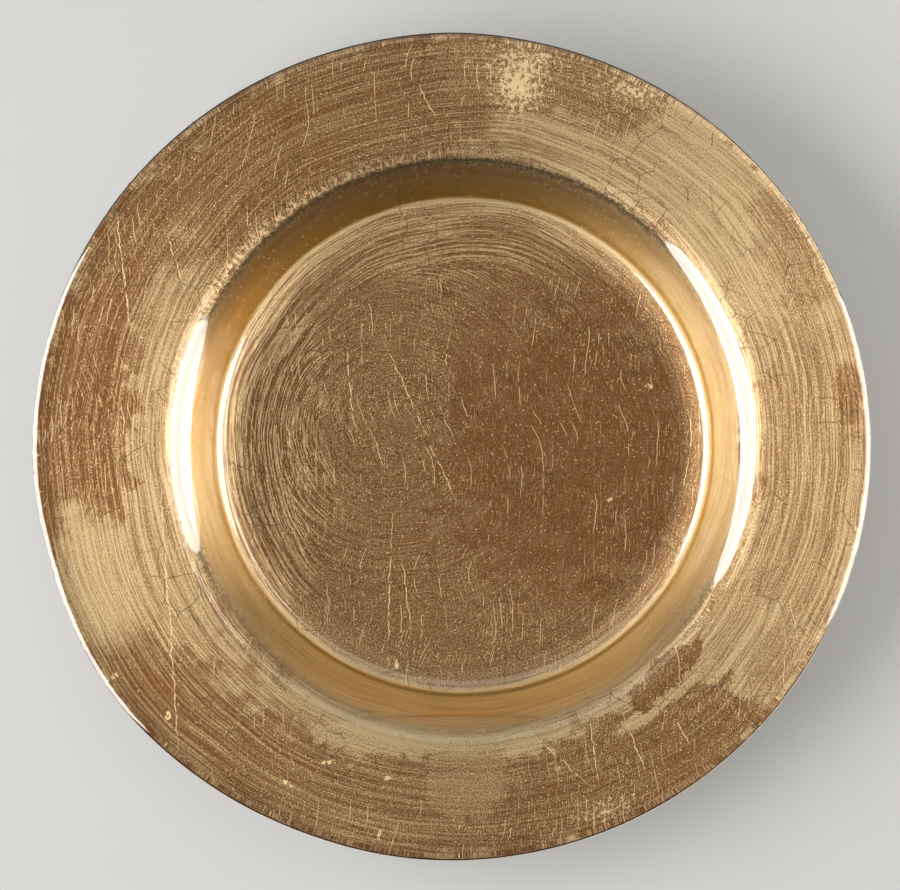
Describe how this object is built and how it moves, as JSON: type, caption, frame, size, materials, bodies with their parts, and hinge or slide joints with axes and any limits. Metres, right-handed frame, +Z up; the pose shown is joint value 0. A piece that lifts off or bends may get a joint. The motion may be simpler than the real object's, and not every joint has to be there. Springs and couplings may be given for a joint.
{
  "type": "salad plate",
  "caption": "Clear glass salad plate gilded on the back: broad rim, short steep wall, flat well and a rounded edge.",
  "frame": {"origin": "on the surface that the plate stands on, under the middle of its outline", "axes": "+Z up out of the well; +X along the plate's longest way as it lies in the picture, to the viewer's right; +Y to the picture's top"},
  "size_m": [0.203, 0.2006, 0.0204],
  "materials": {
    "glass": "clear, fire-polished",
    "leaf": "thin leaf, brushed in rings, cracked and patched",
    "coat": "satin brushed lacquer"
  },
  "bodies": {
    "root": {"glass_blank": "glass", "leaf_b1": "leaf", "leaf_c1": "leaf", "leaf_a2": "leaf", "leaf_b2": "leaf", "leaf_c2": "leaf", "leaf_d2": "leaf", "leaf_a3": "leaf", "leaf_b3": "leaf", "leaf_c3": "leaf", "leaf_d3": "leaf", "leaf_b4": "leaf", "leaf_c4": "leaf", "leaf_d4": "leaf", "back_coat": "coat"}
  },
  "joints": []
}
